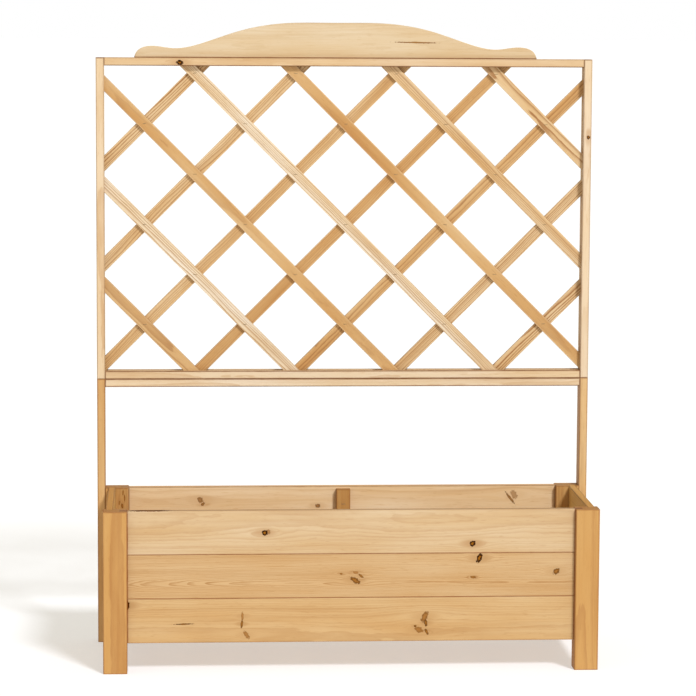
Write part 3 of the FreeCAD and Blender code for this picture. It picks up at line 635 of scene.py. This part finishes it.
def latticeLayer(layer, lean, tree):
    # seven slats of one layer; lean: 1 falls to the right, -1 rises to the right
    step = lattice["pitch"] * mm / 2
    plane = (lattice["plane"] + (-1 if layer == "front" else 1) * lattice["thickness"] / 2) * mm
    along = Vector((1, 0, -lean)).normalized()
    across = front.cross(along)
    middle = Vector((lattice["shift"] * mm, plane, lattice["middle"] * mm))
    spots = [middle + Vector((lean * k * step, 0, k * step)) for k in range(-3, 4)]
    mesh = grow("lattice_" + layer, tree, spots, [(0, math.radians(45 * lean), 0)] * len(spots), {
        "Slat Width": lattice["width"] * mm, "Slat Thickness": lattice["thickness"] * mm,
        "Opening": [size * mm for size in lattice["opening"]],
        "Opening Middle": [size * mm for size in lattice["opening middle"]],
        "Timber": pineMaterial("%s lattice slats" % layer, "slat")})
    chance = random.Random(layer)
    sticks = []
    noEnds = 99.0  # half a length that no slat has, because the frame's groove hides the slats' ends
    for k, (shade, stripes, pithAcross, pithThrough) in zip(range(-3, 4), lattice[layer]):
        sticks.append({
            "middle": spots[k + 3], "axes": (along, across, front), "start": 3.0 * k,  # 3 m apart on the log
            "halves": [noEnds, lattice["width"] * mm / 2, lattice["thickness"] * mm / 2], "wear": evenArrisStainShadeAndHighlight,
            "pith": [chance.uniform(0, 50), pithAcross * mm, pithThrough * mm], "shade": shade, "stripes": stripes})
    markGrain(mesh, lambda point: sticks[3 + round((point - middle).dot(across) / (step * math.sqrt(2)))])
    for face in mesh.polygons:
        longest = max((mesh.vertices[a].co - mesh.vertices[b].co).length for a, b in face.edge_keys)
        face.use_smooth = face.area < lattice["facet"] * mm * longest
    keepPiece("lattice_%s_slats" % layer, mesh, ["lattice_%s_slat_%d" % (layer, n) for n in range(1, 8)])


tree = latticeTree()
latticeLayer("front", 1, tree)
latticeLayer("rear", -1, tree)
print("lattice grown")


def stapleTree():
    # one bent wire, its crown at the spot and its legs going in along +Y
    tree, add, given = newTree(
        "wire staples", "GeometryNodeTree",
        [("Spots", "Geometry", None), ("Crown", "Float", 0.01), ("Leg", "Float", 0.012), ("Wire", "Float", 0.0012),
         ("Bend", "Float", 0.0009), ("Metal", "Material", None)],
        [("Staples", "Geometry")])
    # four points: foot, shoulder, shoulder, foot
    points = add("GeometryNodeMeshLine", {"Count": 4})
    index = add("GeometryNodeInputIndex")
    number = add("ShaderNodeMath", {0: index[0], 1: 1.5}, operation="SUBTRACT")
    side = add("ShaderNodeMath", {0: number[0]}, operation="SIGN")
    across = add("ShaderNodeMath", {0: given["Crown"], 1: given["Wire"]}, operation="SUBTRACT")
    half = add("ShaderNodeMath", {0: across[0], 1: 0.5}, operation="MULTIPLY")
    sideways = add("ShaderNodeMath", {0: side[0], 1: half[0]}, operation="MULTIPLY")
    fromMiddle = add("ShaderNodeMath", {0: number[0]}, operation="ABSOLUTE")
    isFoot = add("ShaderNodeMath", {0: fromMiddle[0], 1: 1.0}, operation="GREATER_THAN")
    inwards = add("ShaderNodeMath", {0: isFoot[0], 1: given["Leg"]}, operation="MULTIPLY")
    corner = add("ShaderNodeCombineXYZ", {0: sideways[0], 1: inwards[0]})
    bent = add("GeometryNodeSetPosition", {"Geometry": points[0], "Position": corner[0]})
    path = add("GeometryNodeMeshToCurve", {0: bent[0]})
    eased = add("GeometryNodeFilletCurve", {"Curve": path[0], "Radius": given["Bend"], "Count": 3}, mode="POLY")
    thin = add("ShaderNodeMath", {0: given["Wire"], 1: 0.5}, operation="MULTIPLY")
    section = add("GeometryNodeCurvePrimitiveCircle", {"Resolution": 8, "Radius": thin[0]})
    wire = add("GeometryNodeCurveToMesh", {"Curve": eased[0], "Profile Curve": section[0], "Fill Caps": True})
    whole = repeatShape(add, given["Spots"], wire[0])
    smooth = add("GeometryNodeSetShadeSmooth", {0: whole})
    done = add("GeometryNodeSetMaterial", {"Geometry": smooth[0], "Material": given["Metal"]})
    add("NodeGroupOutput", {"Staples": done[0]})
    return tree


def screwTree():
    # a countersunk head with a cross recess on a plain shank, driven along -Z
    tree, add, given = newTree(
        "countersunk screws", "GeometryNodeTree",
        [("Spots", "Geometry", None), ("Head", "Float", 0.004), ("Head Depth", "Float", 0.0026),
         ("Shank", "Float", 0.002), ("Length", "Float", 0.048), ("Sink", "Float", 0.0003),
         ("Recess", "Float", 0.0011), ("Overlap", "Float", 0.0002), ("Metal", "Material", None)],
        [("Screws", "Geometry")])
    headTop = add("ShaderNodeMath", {0: given["Sink"], 1: -1.0}, operation="MULTIPLY")
    headFoot = add("ShaderNodeMath", {0: headTop[0], 1: given["Head Depth"]}, operation="SUBTRACT")
    cone = add("GeometryNodeMeshCone", {
        "Vertices": 24, "Radius Top": given["Head"], "Radius Bottom": given["Shank"], "Depth": given["Head Depth"]})
    footPlace = add("ShaderNodeCombineXYZ", {2: headFoot[0]})
    raised = add("GeometryNodeTransform", {"Geometry": cone[0], "Translation": footPlace[0]})
    slotLong = add("ShaderNodeMath", {0: given["Head"], 1: 1.25}, operation="MULTIPLY")
    topPlace = add("ShaderNodeCombineXYZ", {2: headTop[0]})
    slots = []
    for sizes in ((slotLong[0], given["Recess"]), (given["Recess"], slotLong[0])):
        size = add("ShaderNodeCombineXYZ", {0: sizes[0], 1: sizes[1], 2: given["Head Depth"]})
        slot = add("GeometryNodeMeshCube", {"Size": size[0]})
        slots.append(add("GeometryNodeTransform", {"Geometry": slot[0], "Translation": topPlace[0]})[0])
    head = add("GeometryNodeMeshBoolean", {"Mesh 1": raised[0], "Mesh 2": slots},
               operation="DIFFERENCE", solver="EXACT")
    # the shank reaches a little way into the head
    shankTop = add("ShaderNodeMath", {0: headFoot[0], 1: given["Overlap"]}, operation="ADD")
    shankLong = add("ShaderNodeMath", {0: given["Length"], 1: shankTop[0]}, operation="ADD")
    shank = add("GeometryNodeMeshCylinder", {"Vertices": 16, "Radius": given["Shank"], "Depth": shankLong[0]})
    middle = add("ShaderNodeMath", {0: shankLong[0], 1: -0.5, 2: shankTop[0]}, operation="MULTIPLY_ADD")
    shankPlace = add("ShaderNodeCombineXYZ", {2: middle[0]})
    lowered = add("GeometryNodeTransform", {"Geometry": shank["Mesh"], "Translation": shankPlace[0]})
    screw = add("GeometryNodeJoinGeometry", {0: [lowered[0], head[0]]})
    whole = repeatShape(add, given["Spots"], screw[0])
    done = add("GeometryNodeSetMaterial", {"Geometry": whole, "Material": given["Metal"]})
    add("NodeGroupOutput", {"Screws": done[0]})
    return tree


zinc = {"crystals": 900.0, "dark": 0.6, "smoother": 0.08, "rougher": 0.12}  # crystals per metre, about 1 mm each


def zincMaterial(name, tint, rough):
    # drawn steel wire or a pressed steel head under a thin zinc coat, the wire with the
    # wood's treatment over it: brownish or yellowish, softly shining, a little cloudy
    # where the crystals change
    material = bpy.data.materials.new(name)
    material.use_nodes = True
    tree = material.node_tree
    tree.nodes.clear()
    add = partial(addNode, tree)
    place = add("ShaderNodeTexCoord")["Object"]
    cloud = add("ShaderNodeTexNoise", {"Vector": place, "Scale": zinc["crystals"], "Detail": 3.0})
    darker = [c * zinc["dark"] for c in linear(tint)[:3]] + [1.0]
    tone = add("ShaderNodeMix", {0: cloud[0], 6: darker, 7: linear(tint)}, data_type="RGBA")
    dull = add("ShaderNodeMapRange", {0: cloud[0], 3: rough - zinc["smoother"], 4: rough + zinc["rougher"]})
    shader = add("ShaderNodeBsdfPrincipled", {"Base Color": tone[2], "Roughness": dull[0], "Metallic": 1.0})
    add("ShaderNodeOutputMaterial", {"Surface": shader[0]})
    return material


# mm and degrees; "plane" is how far from the middle of the box the wood's face lies
staples = {
    "crown": 10.0, "wire": 1.2, "proud": 0.7, "tint": "#A08A6A", "rough": 0.5, "twist": 9,
    "lattice leg": 12, "lattice reach": {"across": 590, "low": 701, "high": 1444},
    "batten_staples": {"leg": 30, "plane": 155, "places": [(0, z) for z in (136.5, 244.0, 351.5)]},
    "bearer_staples": {"leg": 30, "plane": 148, "places": [(x, 91.0) for x in (-462, -154, 154, 462)]},
}


def driveStaples(node, tree, spots, turns, leg, metal):
    # one set of staples, each with its crown on a spot
    mesh = grow(node, tree, [Vector(spot) * mm for spot in spots], turns, {
        "Crown": staples["crown"] * mm, "Wire": staples["wire"] * mm, "Leg": leg * mm, "Metal": metal})
    keepPiece("bent_" + node, mesh, [node])


metal = zincMaterial("galvanised steel wire under the honey treatment", staples["tint"], staples["rough"])
tree = stapleTree()
lift = staples["proud"] - staples["wire"] / 2  # from the wood's face to the middle of the wire
reach = staples["lattice reach"]
spots = []
for falling in range(-3, 4):
    for rising in range(-3, 4):
        x = lattice["shift"] + (falling - rising) * lattice["pitch"] / 2
        z = lattice["middle"] + (falling + rising) * lattice["pitch"] / 2
        if abs(x) < reach["across"] and reach["low"] < z < reach["high"]:
            spots.append((x, lattice["plane"] - lattice["thickness"] - lift, z))
chance = random.Random(7)
twist = staples["twist"]
turns = [(0, math.radians(chance.uniform(-twist, twist)), 0) for spot in spots]  # no two are driven alike
driveStaples("lattice_staples", tree, spots, turns, staples["lattice leg"], metal)
for node in ("batten_staples", "bearer_staples"):
    row = staples[node]
    spots = [(x, side * (row["plane"] - lift), z) for side in (-1, 1) for x, z in row["places"]]
    turns = [(0, 0, math.pi if y < 0 else 0) for x, y, z in spots]
    driveStaples(node, tree, spots, turns, row["leg"], metal)

# mm: where each head lies, with the degrees it is turned about y, and the screw's length
screws = {
    "tint": "#CDBE8A", "rough": 0.32,
    "post_screws": {"length": 48, "heads": [
        (-620, 182.5, 90.0, -90), (-620, 182.5, 335.0, -90), (620, 182.5, 90.0, 90), (620, 182.5, 335.0, 90)]},
    "panel_joining_screws": {"length": 35, "heads": [(-248.5, 197.9, 691.0, 0), (254.5, 197.9, 691.0, 0)]},
    "crown_screws": {"length": 40, "heads": [(-248.5, 182.5, 1462.0, 180), (254.5, 182.5, 1462.0, 180)]},
}
metal = zincMaterial("yellow passivated zinc on steel", screws["tint"], screws["rough"])
tree = screwTree()
for node in ("post_screws", "panel_joining_screws", "crown_screws"):
    heads = screws[node]["heads"]
    turns = [(0, math.radians(tip), 0) for x, y, z, tip in heads]
    mesh = grow(node, tree, [Vector(head[:3]) * mm for head in heads], turns, {
        "Length": screws[node]["length"] * mm, "Metal": metal})
    keepPiece("driven_" + node, mesh, [node])
print("staples and screws driven")

# each lamp: where it stands round the front and its height in degrees, width of its disc, strength
studio = {
    "floor": "#C4C4C4", "rough": 0.9, "glow": 0.45, "reach": 300,  # reach in metres, as good as endless
    "sky": (0.5, 0.45, 0.34), "horizon": (0.04, 0.3),  # overhead colour, and where white turns into it
    "lamp": (0.955, 1.0, 1.09), "key": (27, 42, 11, 2.83), "fill": (-40, 30, 60, 0.25),
}


def paleFloor():
    # matt paint on a board that glows a little: no shine, and shadows stay pale
    disc = bmesh.new()
    bmesh.ops.create_circle(disc, cap_ends=True, segments=96, radius=studio["reach"])
    mesh = bpy.data.meshes.new("studio_floor")
    disc.to_mesh(mesh)
    disc.free()
    material = bpy.data.materials.new("matt painted light table")
    material.use_nodes = True
    shader = material.node_tree.nodes["Principled BSDF"]
    shader.inputs["Base Color"].default_value = linear(studio["floor"])
    shader.inputs["Roughness"].default_value = studio["rough"]
    shader.inputs["Emission Color"].default_value = (1.0, 1.0, 1.0, 1.0)
    shader.inputs["Emission Strength"].default_value = studio["glow"]
    mesh.materials.append(material)
    floor = bpy.data.objects.new("studio_floor", mesh)
    bpy.context.scene.collection.objects.link(floor)


def softLight(name, around, height, disc, strength):
    # a far, wide softbox, so that the floor is lit as evenly as the wood
    lamp = bpy.data.lights.new(name, "SUN")
    lamp.angle = math.radians(disc)
    lamp.energy = strength
    lamp.color = studio["lamp"]
    light = bpy.data.objects.new(name, lamp)
    light.rotation_euler = (math.radians(90 - height), 0, math.radians(around))
    bpy.context.scene.collection.objects.link(light)


def whiteSky():
    # white at the height where the floor ends, softer and warmer overhead
    world = bpy.data.worlds.new("white studio")
    bpy.context.scene.world = world
    world.use_nodes = True
    tree = world.node_tree
    tree.nodes.clear()
    add = partial(addNode, tree)
    sight = add("ShaderNodeTexCoord")["Generated"]
    parts = add("ShaderNodeSeparateXYZ", {0: sight})
    low, high = studio["horizon"]
    higher = add("ShaderNodeMapRange", {0: parts[2], 1: low, 2: high}, interpolation_type="SMOOTHSTEP")
    colour = add("ShaderNodeMix", {0: higher[0], 6: (1.0, 1.0, 1.0, 1.0), 7: (*studio["sky"], 1.0)}, data_type="RGBA")
    shade = add("ShaderNodeBackground", {"Color": colour[2]})
    add("ShaderNodeOutputWorld", {"Surface": shade[0]})


paleFloor()
whiteSky()
for name in ("key", "fill"):
    softLight(name, *studio[name])
bpy.context.scene.view_settings.view_transform = "Standard"
print("studio lit")
